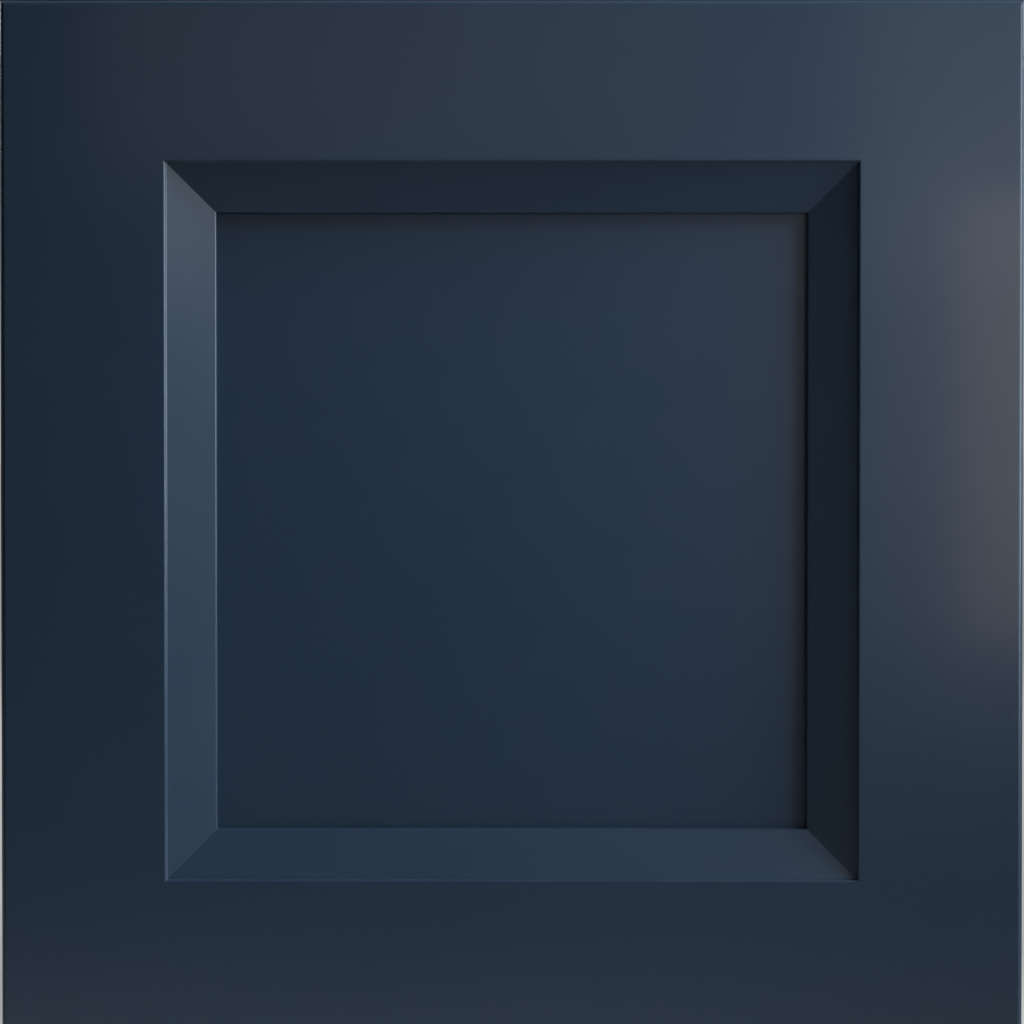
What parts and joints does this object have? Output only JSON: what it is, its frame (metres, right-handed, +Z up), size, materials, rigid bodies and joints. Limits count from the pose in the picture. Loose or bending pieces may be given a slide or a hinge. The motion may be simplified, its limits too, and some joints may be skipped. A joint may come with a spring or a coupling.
{
  "type": "bathroom vanity cabinet",
  "caption": "Wall-hung vanity cabinet: frameless plywood box with one framed, bevel-moulded, handle-less door on concealed hinges, push latch, shelf and pipe opening in the back.",
  "frame": {"origin": "bottom centre of the closed cabinet's overall box", "axes": "+Z up; the door faces -Y; +X is to the right seen from the front"},
  "size_m": [0.381, 0.3258, 0.3873],
  "materials": {
    "navy_paint": "satin navy lacquer over wood",
    "birch_ply": "clear-coated birch plywood",
    "birch_band": "clear-coated birch edge band",
    "poplar": "bare sanded poplar",
    "zinc_screw": "zinc plated",
    "nickel_steel": "nickel plated pressing",
    "bright_steel": "bright steel",
    "magnet_steel": "plated magnet",
    "grey_plastic": "fine moulded texture",
    "clear_rubber": "translucent grey"
  },
  "bodies": {
    "carcass": {"side_panel_left": "birch_ply", "side_panel_right": "birch_ply", "finished_end_left": "navy_paint", "finished_end_right": "navy_paint", "finished_underside": "navy_paint", "bottom_panel": "birch_ply", "back_panel": "birch_ply", "hanging_rail_top": "poplar", "hanging_rail_bottom": "poplar", "front_rail": "navy_paint", "edge_band_left": "navy_paint", "edge_band_right": "navy_paint", "edge_band_bottom": "navy_paint", "corner_block_front_left": "poplar", "corner_block_front_right": "poplar", "corner_block_rear_left": "poplar", "corner_block_rear_right": "poplar", "case_screws": "zinc_screw", "shelf": "birch_ply", "shelf_edge_band": "birch_band", "shelf_pins": "bright_steel", "mounting_plate_lower": "nickel_steel", "mounting_plate_upper": "nickel_steel", "hinge_arm_lower": "nickel_steel", "hinge_arm_upper": "nickel_steel", "arm_pins_lower": "bright_steel", "arm_pins_upper": "bright_steel", "plate_screws": "zinc_screw", "arm_screws": "zinc_screw", "latch_housing": "grey_plastic", "latch_screws": "zinc_screw"},
    "outer_links": {"outer_link_lower": "nickel_steel", "outer_link_upper": "nickel_steel"},
    "inner_links": {"inner_link_lower": "nickel_steel", "inner_link_upper": "nickel_steel"},
    "door": {"stile_left": "navy_paint", "stile_right": "navy_paint", "rail_top": "navy_paint", "rail_bottom": "navy_paint", "door_panel": "navy_paint", "moulding_top": "navy_paint", "moulding_bottom": "navy_paint", "moulding_left": "navy_paint", "moulding_right": "navy_paint", "door_bumpers": "clear_rubber", "hinge_cup_lower": "nickel_steel", "hinge_cup_upper": "nickel_steel", "cup_pins_lower": "bright_steel", "cup_pins_upper": "bright_steel", "cup_screws": "zinc_screw", "strike_plate": "bright_steel", "strike_screw": "zinc_screw"},
    "latch_rod": {"latch_plunger": "grey_plastic", "latch_magnet": "magnet_steel"}
  },
  "joints": [
    {"name": "outer_link_swing", "type": "hinge", "parent": "carcass", "child": "outer_links", "pos_m": [-0.14719, -0.13634, 0.08317], "axis": [0, 0, 1], "range_deg": [-0.03, 28.03]},
    {"name": "door_swing", "type": "hinge", "parent": "outer_links", "child": "door", "pos_m": [-0.17611, -0.14713, 0.08317], "axis": [0, 0, -1], "range_deg": [-0.15, 123.03]},
    {"name": "inner_link_swing", "type": "hinge", "parent": "carcass", "child": "inner_links", "pos_m": [-0.15764, -0.15049, 0.08317], "axis": [0, 0, 1], "range_deg": [-0.05, 40.19]},
    {"name": "latch_travel", "type": "slide", "parent": "carcass", "child": "latch_rod", "axis": [0, -1, 0], "range_m": [-0.00002, 0.01401]}
  ],
  "couplings": [
    {"joint": "outer_link_swing", "follows": "door_swing", "ratio": 0.2278},
    {"joint": "inner_link_swing", "follows": "door_swing", "ratio": 0.32664},
    {"joint": "latch_travel", "follows": "door_swing", "m_per_rad": 0.00652}
  ]
}
